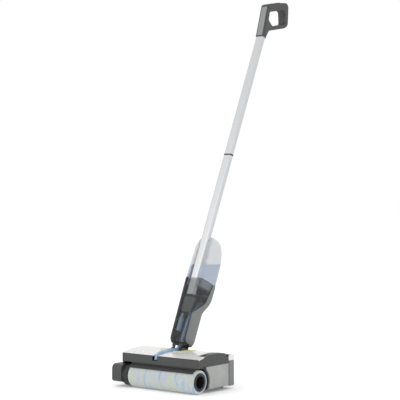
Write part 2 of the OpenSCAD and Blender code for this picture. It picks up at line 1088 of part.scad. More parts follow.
// Outline of the oval tube, grown by t
module tube_outline(t = 0) {
    polygon(box_outline(-tube_w / 2 - t, tube_w / 2 + t, tube_y - tube_d / 2 - t, tube_y + tube_d / 2 + t, 6 + t, 8));
}

module tube_socket() {
    color(black)
        on_handle()
            difference() {
                along_z(tube_z0 - 3.5, tube_z0 + 5)
                    intersection() {
                        tube_outline(2.4);
                        translate([-20, -25.2])
                            square([40, 30]);
                    }
                along_z(tube_z0, tube_z0 + 30)
                    tube_outline(0.02);
            }
}

module battery_pack() {
    color([0.3, 0.3, 0.3])
        on_handle()
            along_z(125, tube_z0 - 3.5)
                polygon(box_outline(-15, 15, -24.4, -7, 3));
}

module control_board() {
    color([0.1, 0.3, 0.2])
        on_handle() {
            block([-27.6, -8, 60], [-26, 14, 118]);
            for (z = [68, 84, 98])
                block([-26, -6, z], [-22.5, 6, z + 9]);
        }
}

module water_pump() {
    color([0.5, 0.6, 0.72])
        on_handle() {
            translate([-14, -12, 68])
                cylinder(h = 40, r = 8);
            translate([-14, -12, 108])
                cylinder(h = 4, r1 = 8, r2 = 5);
            translate([-14, -12, 112])
                cylinder(h = 10, r = 5);
            // Feet to the casing wall
            for (z = [72, 100])
                block([-28.4, -14, z], [-20, -10, z + 4]);
        }
}

module valve_seat() {
    color([0.25, 0.27, 0.3])
        on_handle()
            translate([0, 36, 0])
                difference() {
                    union() {
                        translate([0, 0, 182])
                            cylinder(h = 8.5, r = 13);
                        translate([0, 0, 172])
                            cylinder(h = 10, r1 = 7, r2 = 13);
                    }
                    translate([0, 0, 182.5])
                        cylinder(h = 9, r = 11);
                    translate([0, 0, 174])
                        cylinder(h = 9, r1 = 4.2, r2 = 10.5);
                    translate([0, 0, 171])
                        cylinder(h = 5, r = 4.2);
                }
}

module wand_hose() {
    color(clear)
        on_handle()
            sweep(hose_in_wand, hose_r);
}

module wand_lead() {
    color(black)
        on_handle()
            sweep(lead_in_wand, lead_r, 8);
}

// Charging socket in the back of the housing
socket_r = 2.8;
module charge_socket() {
    color(black)
        on_handle()
            translate([0, 26, 76])
                rotate([90, 0, 0])
                    difference() {
                        union() {
                            cylinder(h = 14, r = 6);
                            cylinder(h = 1, r = 8);
                        }
                        translate([0, 0, -1])
                            cylinder(h = 11, r = socket_r, $fn = 48);
                    }
}

module casing_screws() {
    color(steel)
        on_handle()
            for (p = casing_screw_places)
                translate([p[0], 24.8, p[1]])
                    rotate([90, 0, 0])
                        screw(2.6, 1.3, 8);
}

// ---- fresh water tank ----

// Outside of the tank as [z, x0, x1, y0, y1, radius]
tank = [
    [204, -27.4, 27.4, -24.6, 48, 9],
    [226.6, -27.6, 27.6, -24.8, 48.4, 10],
    [227, -31, 31, -28.5, 51.8, 12],
    [270, -31, 31, -28, 52, 13],
    [293, -31, 31, -27.5, 51, 13],
    [310, -31, 31, -27, 48.5, 14],
    [323, -30.5, 30.5, -26.5, 45, 14],
    [335, -29, 29, -25, 40.5, 14],
    [345, -26.5, 26.5, -22.5, 36, 14]
];
crown = [
    [345, -26.5, 26.5, -22.5, 36, 14],
    [351, -23.5, 23.5, -18, 32.5, 13],
    [357, -18, 18, -11, 28, 12],
    [361, -11, 11, -2, 23, 10],
    [362.5, -5, 5, 5, 18, 4.5]
];
tank_wall = 1.8;

// The slot that the tube runs in, grown by t
module tube_slot(t) {
    block([-15.4 - t, -40, 190], [15.4 + t, -8.3 + t, 380]);
}

module fresh_tank() {
    color(clear)
        on_handle()
            difference() {
                loft(tank);
                difference() {
                    loft(concat(
                        [[205.8, -25.6, 25.6, -22.8, 46.2, 7]],
                        [for (i = [1 : len(tank) - 1]) inset(tank, tank_wall)[i]],
                        [[346, -24.7, 24.7, -20.7, 34.2, 12]]
                    ));
                    tube_slot(tank_wall);
                }
                tube_slot(0);
                translate([0, 36, 200])
                    cylinder(h = 8, r = 9);
            }
}

module tank_top() {
    color([0.8, 0.84, 0.87, 0.5])
        on_handle()
            difference() {
                translate([0, 0, 0.05])
                    loft(crown);
                difference() {
                    loft([
                        [344, -24.7, 24.7, -20.7, 34.2, 12],
                        [350, -22, 22, -16.5, 31, 11],
                        [355.5, -16.5, 16.5, -9.5, 26.5, 10],
                        [359.2, -9.5, 9.5, -0.5, 21.5, 8]
                    ]);
                    tube_slot(tank_wall);
                }
                tube_slot(0);
            }
}

module valve_cap() {
    color([0.2, 0.21, 0.23])
        on_handle()
            translate([0, 36, 0])
                difference() {
                    union() {
                        translate([0, 0, 190.7])
                            cylinder(h = 13.2, r = 12.6);
                        translate([0, 0, 200])
                            cylinder(h = 9, r = 8.95);
                    }
                    translate([0, 0, 193])
                        cylinder(h = 20, r = 6.5);
                    translate([0, 0, 190])
                        cylinder(h = 5, r = 3 + fit);
                }
}

module valve_stem() {
    color([0.8, 0.3, 0.25])
        on_handle()
            translate([0, 36, 0]) {
                translate([0, 0, 186.5])
                    cylinder(h = 8, r = 3);
                translate([0, 0, 193.4])
                    cylinder(h = 3, r = 5.5);
            }
}

// ---- tube ----

module lower_tube() {
    color([0.8, 0.81, 0.82])
        on_handle()
            difference() {
                along_z(tube_z0, tube_z1 - 2)
                    tube_outline();
                along_z(tube_z0 - 1, tube_z1)
                    tube_outline(-1.3);
                translate([0, tube_y + tube_d / 2 + 1, tube_z1 - 22])
                    rotate([90, 0, 0])
                        cylinder(h = 4, r = 4.3, $fn = 32);
            }
}

module upper_tube() {
    color([0.8, 0.81, 0.82])
        on_handle()
            difference() {
                along_z(tube_z1 + 2, tube_z2)
                    tube_outline();
                along_z(tube_z1, tube_z2 + 1)
                    tube_outline(-1.3);
            }
}

// Plug inside both tubes, with the dark ring between their ends
module tube_coupler() {
    color(black)
        on_handle()
            difference() {
                union() {
                    along_z(tube_z1 - 45, tube_z1 + 45)
                        tube_outline(-1.35);
                    along_z(tube_z1 - 2, tube_z1 + 2)
                        tube_outline(0.5);
                }
                along_z(tube_z1 - 46, tube_z1 + 46)
                    tube_outline(-4);
                translate([0, tube_y + tube_d / 2, tube_z1 - 22])
                    rotate([90, 0, 0])
                        cylinder(h = 5, r = 4.3, $fn = 32);
            }
}

module snap_button() {
    color([0.3, 0.3, 0.31])
        on_handle()
            translate([0, tube_y + tube_d / 2 + 1.4, tube_z1 - 22])
                rotate([90, 0, 0])
                    cylinder(h = 5, r = 4, $fn = 32);
}

// ---- handle ----

module loop_outer() {
    polygon(rounded([
        [-25, tube_z2, 0],
        [-37.7, tube_z2 + 105, 14],
        [-4.7, tube_z2 + 129, 30],
        [55, tube_z2 + 164, 15],
        [80, tube_z2 + 96, 17],
        [67.5, tube_z2 + 80, 12],
        [-3, tube_z2 + 31, 16],
        [-8, tube_z2 + 8, 6],
        [-8, tube_z2, 0]
    ]));
}

module loop_hole() {
    polygon(rounded([
        [-21.5, tube_z2 + 87, 8],
        [45.5, tube_z2 + 133, 11],
        [66, tube_z2 + 94, 9],
        [9, tube_z2 + 53, 10],
        [-17.5, tube_z2 + 61, 9]
    ]));
}

module handle_frame() {
    color(dark)
        on_handle()
            difference() {
                union() {
                    along_x(-loop_w / 2, loop_w / 2)
                        difference() {
                            loop_outer();
                            loop_hole();
                        }
                    // Plug in the end of the tube
                    along_z(tube_z2 - 25, tube_z2 + 2)
                        tube_outline(-1.35);
                }
                // Hollow of the strut
                along_x(-loop_w / 2 + wall, loop_w / 2 - wall)
                    polygon(rounded([
                        [-24.5, tube_z2 + 24, 1],
                        [-14.5, tube_z2 + 24, 1],
                        [-23.8, tube_z2 + 88, 1],
                        [-32, tube_z2 + 94, 1]
                    ]));
                // Seats of the power button and the trigger
                button_shape(0.3, 2.2);
                trigger_shape(0.3);
                // Recess of the front trim
                on_strut()
                    along_y(-1, 1.6)
                        polygon(box_outline(-10.1, 10.1, 3.9, 98.1, 3));
            }
}

// Places what is modelled upright on the front face of the strut
module on_strut() {
    translate([0, -25, tube_z2])
        rotate([strut_turn, 0, 0])
            children();
}

// Lighter strip let into the front of the strut
module handle_trim() {
    color([0.55, 0.56, 0.57])
        on_handle()
            on_strut()
                along_y(-0.6, 1.55)
                    polygon(box_outline(-10, 10, 4, 98, 2.9));
}

// The power button lies in the top bar, square to its upper face
button_turn = 30;

module power_button() {
    color([0.6, 0.62, 0.63])
        on_handle()
            button_shape(0, 0);
}

module spray_trigger() {
    color(black)
        on_handle()
            trigger_shape(0);
}

module button_shape(t, deeper) {
    translate([0, 22, tube_z2 + 143.2])
        rotate([button_turn, 0, 0])
            translate([0, 0, -6 - deeper])
                cylinder(h = 9 + deeper, r = 7 + t, $fn = 48);
}

module trigger_shape(t) {
    along_x(-6 - t, 6 + t)
        polygon(rounded([
            [-24.5 - t, tube_z2 + 64 - t, 1],
            [-13.5 + t, tube_z2 + 64 - t, 3],
            [-15.5 + t, tube_z2 + 82 + t, 3],
            [-24.5 - t, tube_z2 + 82 + t, 1]
        ]));
}

chassis();
front_frame();
top_cover();
joint_bezel();
neck_well();
rear_bumper();
end_housing();
end_cover();
roller_guard();
tilt_bearings();
roller_motor();
motor_gearbox();
roller_bearing();
roller_hood();
scraper();
water_distributor();
spray_nozzles();
hose_gland();
head_hose();
head_lead();
axle_pins();
head_screws();
drive_hub();
roller_core();
roller_fleece();
roller_end_cap();
wheel_left();
wheel_right();
waste_tank();
waste_tank_lid();
tank_grip();
neck_knuckle();
tilt_pins();
swing_pin();
neck_hose();
neck_lead();
rear_casing();
front_cover();
swing_socket();
tube_socket();
battery_pack();
control_board();
water_pump();
valve_seat();
wand_hose();
wand_lead();
charge_socket();
casing_screws();
fresh_tank();
tank_top();
valve_cap();
valve_stem();
lower_tube();
upper_tube();
tube_coupler();
snap_button();
handle_frame();
handle_trim();
power_button();
spray_trigger();
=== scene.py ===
"""The looks of the wet dry floor scrubber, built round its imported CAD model.

Pieces are drawn in millimetres, most of them in the handle's own frame, and placed in metres.
"""
import json
import math

import bmesh
import bpy
from mathutils import Matrix, Vector, noise


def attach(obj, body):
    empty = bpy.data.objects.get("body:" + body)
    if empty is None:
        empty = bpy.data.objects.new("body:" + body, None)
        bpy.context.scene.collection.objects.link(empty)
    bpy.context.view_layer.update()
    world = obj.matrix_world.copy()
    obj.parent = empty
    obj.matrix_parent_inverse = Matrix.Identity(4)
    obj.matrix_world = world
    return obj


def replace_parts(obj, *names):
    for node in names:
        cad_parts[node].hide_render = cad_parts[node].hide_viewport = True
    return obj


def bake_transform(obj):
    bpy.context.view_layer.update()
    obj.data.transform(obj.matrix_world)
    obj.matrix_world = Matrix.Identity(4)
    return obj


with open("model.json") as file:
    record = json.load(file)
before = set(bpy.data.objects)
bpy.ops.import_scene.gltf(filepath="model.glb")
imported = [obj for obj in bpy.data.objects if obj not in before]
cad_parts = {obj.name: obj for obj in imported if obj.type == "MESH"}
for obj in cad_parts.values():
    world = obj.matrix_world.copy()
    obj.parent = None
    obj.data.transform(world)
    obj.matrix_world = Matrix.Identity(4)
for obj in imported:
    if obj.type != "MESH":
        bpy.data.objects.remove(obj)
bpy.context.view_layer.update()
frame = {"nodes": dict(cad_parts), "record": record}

MM = 0.001
LEAN = math.radians(24)
HANDLE = Matrix.Translation((0, 0, 0.088)) @ Matrix.Rotation(-LEAN, 4, "X")
WORLD = Matrix.Identity(4)
TUBE_Z2 = 1016
ROLLER_Y = 71.5
ROLLER_Z = 33.5


# ---- materials ----

def new_material(name):
    """An empty node material with its principled shader."""
    material = bpy.data.materials.new(name)
    material.use_nodes = True
    tree = material.node_tree
    tree.nodes.clear()
    output = tree.nodes.new("ShaderNodeOutputMaterial")
    shader = tree.nodes.new("ShaderNodeBsdfPrincipled")
    tree.links.new(shader.outputs["BSDF"], output.inputs["Surface"])
    return material, tree, shader


def noise_field(tree, size_mm, stretch=(1, 1, 1), detail=3.0, distortion=0.0):
    """Noise whose features are about size_mm across, stretched along the axes."""
    place = tree.nodes.new("ShaderNodeTexCoord")
    mapping = tree.nodes.new("ShaderNodeMapping")
    mapping.inputs["Scale"].default_value = [s / (size_mm * MM) for s in stretch]
    field = tree.nodes.new("ShaderNodeTexNoise")
    field.inputs["Scale"].default_value = 1.0
    field.inputs["Detail"].default_value = detail
    field.inputs["Distortion"].default_value = distortion
    tree.links.new(place.outputs["Object"], mapping.inputs["Vector"])
    tree.links.new(mapping.outputs["Vector"], field.inputs["Vector"])
    return field.outputs["Fac"]


def ramp(tree, field, stops):
    """A colour ramp over a field, with stops given as (position, colour)."""
    node = tree.nodes.new("ShaderNodeValToRGB")
    elements = node.color_ramp.elements
    while len(elements) < len(stops):
        elements.new(0.5)
    for element, (position, colour) in zip(elements, stops):
        element.position = position
        element.color = (*colour[:3], 1)
    tree.links.new(field, node.inputs["Fac"])
    return node.outputs["Color"]


def spread(tree, field, low, high):
    """A field mapped to the range from low to high."""
    node = tree.nodes.new("ShaderNodeMapRange")
    node.inputs["From Min"].default_value = 0.3
    node.inputs["From Max"].default_value = 0.7
    node.inputs["To Min"].default_value = low
    node.inputs["To Max"].default_value = high
    tree.links.new(field, node.inputs["Value"])
    return node.outputs["Result"]


def relief(tree, shader, field, strength, depth_mm, edge_mm=0.0):
    """Bump from a field, over edges softened by edge_mm."""
    bump = tree.nodes.new("ShaderNodeBump")
    bump.inputs["Strength"].default_value = strength
    bump.inputs["Distance"].default_value = depth_mm * MM
    tree.links.new(field, bump.inputs["Height"])
    if edge_mm:
        soft = tree.nodes.new("ShaderNodeBevel")
        soft.samples = 4
        soft.inputs["Radius"].default_value = edge_mm * MM
        tree.links.new(soft.outputs["Normal"], bump.inputs["Normal"])
    tree.links.new(bump.outputs["Normal"], shader.inputs["Normal"])


def shade(colour, factor):
    """A colour made darker or lighter."""
    return [min(c * factor, 1.0) for c in colour]


def plastic(name, colour, rough=0.45, grain_mm=0.5, depth_mm=0.03, edge_mm=0.8, coat=0.0, vary=0.08):
    """Moulded plastic: a fine grain, slow changes of shade and handling marks in the gloss."""
    material, tree, shader = new_material(name)
    slow = noise_field(tree, 40, detail=4.0)
    stops = [(0.3, shade(colour, 1 - vary)), (0.7, shade(colour, 1 + vary))]
    tree.links.new(ramp(tree, slow, stops), shader.inputs["Base Color"])
    marks = noise_field(tree, 9, stretch=(1, 1, 0.35), detail=6.0, distortion=0.6)
    tree.links.new(spread(tree, marks, rough - 0.06, rough + 0.07), shader.inputs["Roughness"])
    relief(tree, shader, noise_field(tree, grain_mm, detail=2.0), 0.35, depth_mm, edge_mm)
    if coat:
        shader.inputs["Coat Weight"].default_value = coat
        shader.inputs["Coat Roughness"].default_value = 0.08
    return material


def metal(name, colour, rough, stretch, grain_mm=0.5):
    """Brushed or drawn metal, its lines along the long side of stretch."""
    material, tree, shader = new_material(name)
    shader.inputs["Metallic"].default_value = 1.0
    lines = noise_field(tree, grain_mm, stretch=stretch, detail=5.0)
    stops = [(0.25, shade(colour, 0.9)), (0.75, colour)]
    tree.links.new(ramp(tree, lines, stops), shader.inputs["Base Color"])
    tree.links.new(spread(tree, lines, rough - 0.05, rough + 0.08), shader.inputs["Roughness"])
    relief(tree, shader, lines, 0.25, 0.01, 0.4)
    return material


def see_through(name, colour, low, high, rough=0.08, wave_mm=30, wave_depth=0.05):
    """Clear plastic or water, a little less clear in slow patches."""
    material, tree, shader = new_material(name)
    slow = noise_field(tree, wave_mm, detail=3.0)
    tree.links.new(ramp(tree, slow, [(0.3, shade(colour, 0.9)), (0.7, colour)]), shader.inputs["Base Color"])
    solid = tree.nodes.new("ShaderNodeMapRange")
    solid.inputs["To Min"].default_value = low
    solid.inputs["To Max"].default_value = high
    tree.links.new(slow, solid.inputs["Value"])
    tree.links.new(solid.outputs["Result"], shader.inputs["Alpha"])
    shader.inputs["Roughness"].default_value = rough
    shader.inputs["Coat Weight"].default_value = 0.6
    shader.inputs["Coat Roughness"].default_value = 0.04
    relief(tree, shader, slow, 0.2, wave_depth)
    return material


def fleece_material():
    """Short split-fibre pile, wet and stained in bands that run round the roller."""
    material, tree, shader = new_material("fleece")
    bands = noise_field(tree, 22, stretch=(1.6, 0.25, 0.25), detail=5.0, distortion=0.7)
    colours = [
        (0.28, (0.16, 0.28, 0.48)),
        (0.38, (0.34, 0.45, 0.58)),
        (0.46, (0.50, 0.55, 0.58)),
        (0.54, (0.50, 0.55, 0.40)),
        (0.61, (0.48, 0.50, 0.60)),
        (0.74, (0.24, 0.38, 0.58)),
    ]
    tree.links.new(ramp(tree, bands, colours), shader.inputs["Base Color"])
    shader.inputs["Roughness"].default_value = 0.85
    shader.inputs["Sheen Weight"].default_value = 0.6
    shader.inputs["Sheen Roughness"].default_value = 0.4
    fibres = noise_field(tree, 0.9, stretch=(1.4, 0.6, 0.6), detail=6.0)
    relief(tree, shader, fibres, 0.9, 0.9)
    return material


def rubber(name, colour):
    """Soft matt rubber."""
    return plastic(name, colour, rough=0.7, grain_mm=0.8, depth_mm=0.05, edge_mm=0.5)


MATERIALS = {
    "dark_plastic": plastic("dark_plastic", (0.042, 0.045, 0.043), rough=0.42),
    "black_plastic": plastic("black_plastic", (0.012, 0.012, 0.013), rough=0.5),
    "grey_plastic": plastic("grey_plastic", (0.17, 0.178, 0.172), rough=0.42),
    "white_plastic": plastic("white_plastic", (0.72, 0.72, 0.70), rough=0.24, grain_mm=0.4, depth_mm=0.003,
                             edge_mm=1.2, coat=0.5, vary=0.008),
    "yellow_plastic": plastic("yellow_plastic", (0.66, 0.66, 0.32), rough=0.36, coat=0.2, vary=0.03),
    "grip_plastic": plastic("grip_plastic", (0.22, 0.225, 0.228), rough=0.28, coat=0.4),
    "clear_plastic": see_through("clear_plastic", (0.62, 0.64, 0.66), 0.24, 0.36),
    "smoked_plastic": see_through("smoked_plastic", (0.05, 0.055, 0.06), 0.18, 0.30, rough=0.1),
    "tank_plastic": see_through("tank_plastic", (0.42, 0.43, 0.42), 0.72, 0.8, rough=0.25),
    "hose_plastic": see_through("hose_plastic", (0.42, 0.62, 0.90), 0.30, 0.50, rough=0.06, wave_mm=6),
    "water": see_through("water", (0.30, 0.50, 0.82), 0.60, 0.72, rough=0.04, wave_mm=12, wave_depth=0.3),
    "fleece": fleece_material(),
    "aluminium": metal("aluminium", (0.64, 0.65, 0.66), 0.32, (1.0, 0.02, 0.02), grain_mm=0.3),
    "steel": metal("steel", (0.56, 0.57, 0.58), 0.3, (0.1, 1.0, 1.0)),
    "motor_can": metal("motor_can", (0.42, 0.43, 0.45), 0.36, (0.05, 1.0, 1.0)),
    "battery": plastic("battery", (0.10, 0.10, 0.10), rough=0.35, coat=0.3),
    "board": plastic("board", (0.012, 0.10, 0.05), rough=0.4, coat=0.4),
    "pump": plastic("pump", (0.30, 0.44, 0.60), rough=0.3, coat=0.4),
    "rubber": rubber("rubber", (0.018, 0.018, 0.019)),
    "seal_rubber": rubber("seal_rubber", (0.06, 0.062, 0.068)),
    "bush": plastic("bush", (0.60, 0.58, 0.50), rough=0.4),
    "valve_red": plastic("valve_red", (0.45, 0.07, 0.05), rough=0.3, coat=0.3),
}

for row in frame["record"]["subparts"]:
    mesh = frame["nodes"][row["node"]].data
    mesh.materials.clear()
    mesh.materials.append(MATERIALS[row["material_slot"]])


# ---- mesh helpers ----

def piece(name, points, faces, material, place=WORLD, smooth_angle=40):
    """A new object from points in millimetres, with smooth shading across edges under smooth_angle."""
    mesh = bpy.data.meshes.new(name)
    mesh.from_pydata([place @ (Vector(p) * MM) for p in points], [], faces)
    mesh.validate()
    obj = bpy.data.objects.new(name, mesh)
    bpy.context.scene.collection.objects.link(obj)
    mesh.materials.append(MATERIALS[material])
    shade_smooth(obj, smooth_angle)
    return obj



def shade_smooth(obj, angle):
    """Outward normals, smooth faces and sharp edges above an angle."""
    work = bmesh.new()
    work.from_mesh(obj.data)
    bmesh.ops.recalc_face_normals(work, faces=work.faces)
    limit = math.radians(angle)
    for face in work.faces:
        face.smooth = True
    for edge in work.edges:
        edge.smooth = len(edge.link_faces) == 2 and edge.calc_face_angle(0) < limit
    work.to_mesh(obj.data)
    work.free()


def apply_modifiers(obj):
    """Keeps the result of an object's modifiers as its mesh."""
    bpy.context.view_layer.update()
    result = bpy.data.meshes.new_from_object(obj.evaluated_get(bpy.context.evaluated_depsgraph_get()))
    obj.modifiers.clear()
    obj.data = result


def combine(obj, tool, operation="DIFFERENCE", angle=40):
    """Cuts obj with a tool, which is then removed."""
    step = obj.modifiers.new("cut", "BOOLEAN")
    step.operation = operation
    step.solver = "EXACT"
    step.object = tool
    apply_modifiers(obj)
    bpy.data.objects.remove(tool)
    shade_smooth(obj, angle)


def soften(obj, width, segments=3, angle=35):
    """Rounds an object's sharp edges by width millimetres."""
    step = obj.modifiers.new("round", "BEVEL")
    step.width = width * MM
    step.segments = segments
    step.limit_method = "ANGLE"
    step.angle_limit = math.radians(angle)
    step.harden_normals = False
    apply_modifiers(obj)
    shade_smooth(obj, 50)


def prism(name, outline, low, high, along="x", place=WORLD, material="dark_plastic"):
    """A solid from an outline: (y, z) points along x, (x, z) along y, or (x, y) along z."""
    n = len(outline)
    order = {
        "x": lambda a, b, t: (t, a, b),
        "y": lambda a, b, t: (a, t, b),
        "z": lambda a, b, t: (a, b, t),
    }[along]
    points = [order(a, b, t) for t in (low, high) for a, b in outline]
    sides = [(i, (i + 1) % n, n + (i + 1) % n, n + i) for i in range(n)]
    faces = sides + [tuple(range(n)), tuple(range(2 * n - 1, n - 1, -1))]
    return piece(name, points, faces, material, place)


def slab(name, low, high, place=WORLD, material="dark_plastic"):
    """A block given by its two corners, used to cut with."""
    (x0, y0, z0), (x1, y1, z1) = low, high
    return prism(name, [(x0, y0), (x1, y0), (x1, y1), (x0, y1)], z0, z1, "z", place, material)


def rounded(corners, steps=8):
    """A closed outline from corners given as (x, y, radius)."""
    result = []
    for i, (x, y, r) in enumerate(corners):
        here = Vector((x, y))
        u = (Vector(corners[i - 1][:2]) - here).normalized()
        v = (Vector(corners[(i + 1) % len(corners)][:2]) - here).normalized()
        if r <= 0:
            result.append((x, y))
            continue
        half = u.angle(v) / 2
        centre = here + (u + v).normalized() * r / math.sin(half)
        a = (here + u * r / math.tan(half)) - centre
        b = (here + v * r / math.tan(half)) - centre
        turn = a.angle_signed(b)
        for k in range(steps + 1):
            arm = Matrix.Rotation(-turn * k / steps, 2) @ a
            result.append(tuple(centre + arm))
    return result


def box_ring(section, inset=0.0, steps=8):
    """The outline of one section [z, x0, x1, y0, y1, radius], moved in by inset."""
    z, x0, x1, y0, y1, r = section
    x0, x1, y0, y1 = x0 + inset, x1 - inset, y0 + inset, y1 - inset
    r = max(r - inset, 0.8)
    return [(x, y, z) for x, y in rounded([(x0, y0, r), (x1, y0, r), (x1, y1, r), (x0, y1, r)], steps)]


def ring_faces(n, count):
    """The faces of a wall through count rings of n points, closed from the last ring back to the first."""
    return [(i * n + j, i * n + (j + 1) % n, ((i + 1) % count) * n + (j + 1) % n, ((i + 1) % count) * n + j)
            for i in range(count) for j in range(n)]


def spline(points, steps):
    """A smooth line through rows of numbers."""
    rows = [Vector(p) for p in points]
    line = []
    for i in range(len(rows) - 1):
        a, b, c, d = rows[max(i - 1, 0)], rows[i], rows[i + 1], rows[min(i + 2, len(rows) - 1)]
        for k in range(steps):
            t = k / steps
            line.append(0.5 * (2 * b + (c - a) * t + (2 * a - 5 * b + 4 * c - d) * t * t
                               + (3 * b - a - 3 * c + d) * t ** 3))
    return line + [rows[-1]]


def fine_sections(sections, steps):
    """Sections worked out between the given ones, along a smooth line."""
    first = spline([s[:3] for s in sections], steps)
    second = spline([s[3:] for s in sections], steps)
    return [[*a, *b] for a, b in zip(first, second)]


def lofted(name, rings, material, place=HANDLE, angle=40):
    """A closed solid through a stack of rings."""
    n = len(rings[0])
    points = [p for ring in rings for p in ring]
    faces = [(i * n + j, i * n + (j + 1) % n, (i + 1) * n + (j + 1) % n, (i + 1) * n + j)
             for i in range(len(rings) - 1) for j in range(n)]
    faces += [tuple(range(n - 1, -1, -1)), tuple(range(len(points) - n, len(points)))]
    return piece(name, points, faces, material, place, angle)


def swept(name, route, radius, material, place=WORLD, sides=20, steps=8, ripple=0.0):
    """A round tube along a route, whose radius may ripple a little."""
    line = spline(route, steps)
    rings = []
    side = Vector((1, 0, 0))
    for i, p in enumerate(line):
        way = (line[min(i + 1, len(line) - 1)] - line[max(i - 1, 0)]).normalized()
        side = (side - way * side.dot(way)).normalized()
        up = way.cross(side)
        r = radius + ripple * noise.noise(p * 0.12)
        turns = [2 * math.pi * k / sides for k in range(sides)]
        rings.append([tuple(p + r * (side * math.cos(t) + up * math.sin(t))) for t in turns])
    return lofted(name, rings, material, place, angle=60)


# ---- camera, lights and floor ----

def stage():
    """The camera, the studio light and a white floor."""
    scene = bpy.context.scene
    camera = bpy.data.objects.new("camera", bpy.data.cameras.new("camera"))
    scene.collection.objects.link(camera)
    camera.location = (2.2416, -2.7252, 0.5430)
    azimuth, pitch = math.radians(38.44), math.radians(0.26)
    level = math.cos(pitch)
    way = Vector((-math.sin(azimuth) * level, math.cos(azimuth) * level, -math.sin(pitch)))
    camera.rotation_euler = way.to_track_quat("-Z", "Y").to_euler()
    camera.data.lens = 112.7
    camera.data.sensor_width = 36
    scene.camera = camera
    scene.view_settings.view_transform = "Standard"

    world = bpy.data.worlds.new("studio")
    world.use_nodes = True
    world.node_tree.nodes["Background"].inputs["Color"].default_value = (1, 1, 1, 1)
    world.node_tree.nodes["Background"].inputs["Strength"].default_value = 1.0
    scene.world = world

    def area(name, place, aim, size, power):
        light = bpy.data.objects.new(name, bpy.data.lights.new(name, "AREA"))
        scene.collection.objects.link(light)
        light.data.energy = power
        light.data.size = size
        light.location = place
        light.rotation_euler = (Vector(aim) - Vector(place)).to_track_quat("-Z", "Y").to_euler()

    area("key", (-1.2, -2.6, 2.0), (0, 0, 0.4), 1.4, 14)
    area("fill", (2.2, -1.4, 1.4), (0, 0, 0.3), 1.6, 3)

    reach, thick = 14000, 12
    floor = slab("floor", (-reach, -reach, -thick), (reach, reach, 0), material="white_plastic")
    material, tree, shader = new_material("floor")
    shader.inputs["Base Color"].default_value = (0.98, 0.98, 0.98, 1)
    shader.inputs["Roughness"].default_value = 0.8
    shader.inputs["Emission Color"].default_value = (1, 1, 1, 1)
    shader.inputs["Emission Strength"].default_value = 0.12
    floor.data.materials[0] = material


# ---- roller ----

def roller_pile():
    """The fleece: a rolled tube of pile with soft shoulders and a tufted surface."""
    x0, x1, outer, inner = -99.0, 134.5, 33.5, 25.1
    around, along = 300, 220
    shoulder, pile_depth, clear = 5.0, 0.6, 0.02
    profile = [(x0 + 0.4, inner), (x0, 27.5), (x0 + 0.4, 30.5), (x0 + 1.8, 32.2)]
    step = (x1 - x0 - 2 * shoulder) / along
    profile += [(x0 + shoulder + k * step, outer - pile_depth) for k in range(along + 1)]
    profile += [(x1 - 1.8, 32.2), (x1 - 0.4, 30.5), (x1, 27.5), (x1 - 0.4, inner)]
    rings = []
    for x, r in profile:
        ring = []
        for k in range(around):
            turn = 2 * math.pi * k / around
            place = Vector((x * 0.55, 9 * math.cos(turn), 9 * math.sin(turn)))
            tuft = 0.45 * noise.noise(place * 2.1) + 0.35 * noise.noise(place * 5.3) if r > 30 else 0.0
            wave = 0.25 * noise.noise(place * 0.5)
            reach = min(r + tuft + wave, outer - clear) if r > 27 else r
            ring.append((x, -ROLLER_Y + reach * math.cos(turn), ROLLER_Z + reach * math.sin(turn)))
        rings.append(ring)
    points = [p for ring in rings for p in ring]
    pile = piece("roller_pile", points, ring_faces(around, len(rings)), "fleece", smooth_angle=80)
    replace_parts(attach(pile, "roller"), "roller_fleece")


# ---- hose and lead ----

HOSE_R = 6.5
HOSE_WALL = 1.3
LEAD_R = 1.6
HOSE_IN_WAND = [
    (0, 36, 172), (0, 33, 164), (0, 20, 146), (0, 8, 128), (0, 2, 105), (0, 0, 80), (0, -1, 55), (0, -1, 45),
]
HOSE_IN_NECK = [
    (0, 17, 128.6), (0, 11.3, 115.8), (0, 4, 109), (-0.5, -6, 106), (-1.5, -18, 105), (-3.3, -29, 104.5),
]
HOSE_IN_HEAD = [
    (-3.5, -30, 104.5), (-7.5, -45, 102.8), (-12, -60, 100.5), (-14, -67.5, 97.5), (-15.4, -72.8, 92.5),
    (-16, -74.8, 87), (-16, -74.8, 81.6),
]
LEAD_IN_NECK = [
    (-10, 22.5, 126.2), (-11, 16.8, 113.4), (-11.5, 9.2, 101.4), (-11.5, 1.2, 90.7), (-11.5, -3, 80),
    (-12, -5.7, 71),
]
# Where the routes in the neck pass the tilt pins, and are split
NECK_BEND = 2


def hose():
    """The clear hose with its water, in one stretch for each body and two more across the neck's joints, left
    in place.
    """
    stretches = [
        ("wand", HOSE_IN_WAND, HANDLE, None),
        ("neck_upper", HOSE_IN_NECK[:NECK_BEND + 1], WORLD, ("neck", "wand", (0, 4, 109), (0, 17, 128.6))),
        ("neck_lower", HOSE_IN_NECK[NECK_BEND:], WORLD, ("head", "neck", (-3.5, -28, 104.5), (0, 3, 108))),
        ("head", HOSE_IN_HEAD, WORLD, None),
    ]
    layers = [("hose_", HOSE_R, "hose_plastic"), ("hose_water_", HOSE_R - HOSE_WALL, "water")]
    for name, route, place, bend in stretches:
        for kind, radius, material in layers:
            obj = swept(kind + name, route, radius, material, place, ripple=0.12)
            if bend:
                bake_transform(obj)
            else:
                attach(obj, name)
            if kind == "hose_":
                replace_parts(obj, {"wand": "wand_hose", "head": "head_hose"}.get(name, "neck_hose"))


def neck_lead():
    """The motor's lead where it passes the neck's two joints."""
    upper = swept("lead_neck_upper", LEAD_IN_NECK[:NECK_BEND + 1], LEAD_R, "rubber")
    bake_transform(upper)
    lower = swept("lead_neck_lower", LEAD_IN_NECK[NECK_BEND:], LEAD_R, "rubber")
    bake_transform(lower)
    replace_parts(upper, "neck_lead")
    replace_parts(lower, "neck_lead")


# ---- lower housing ----

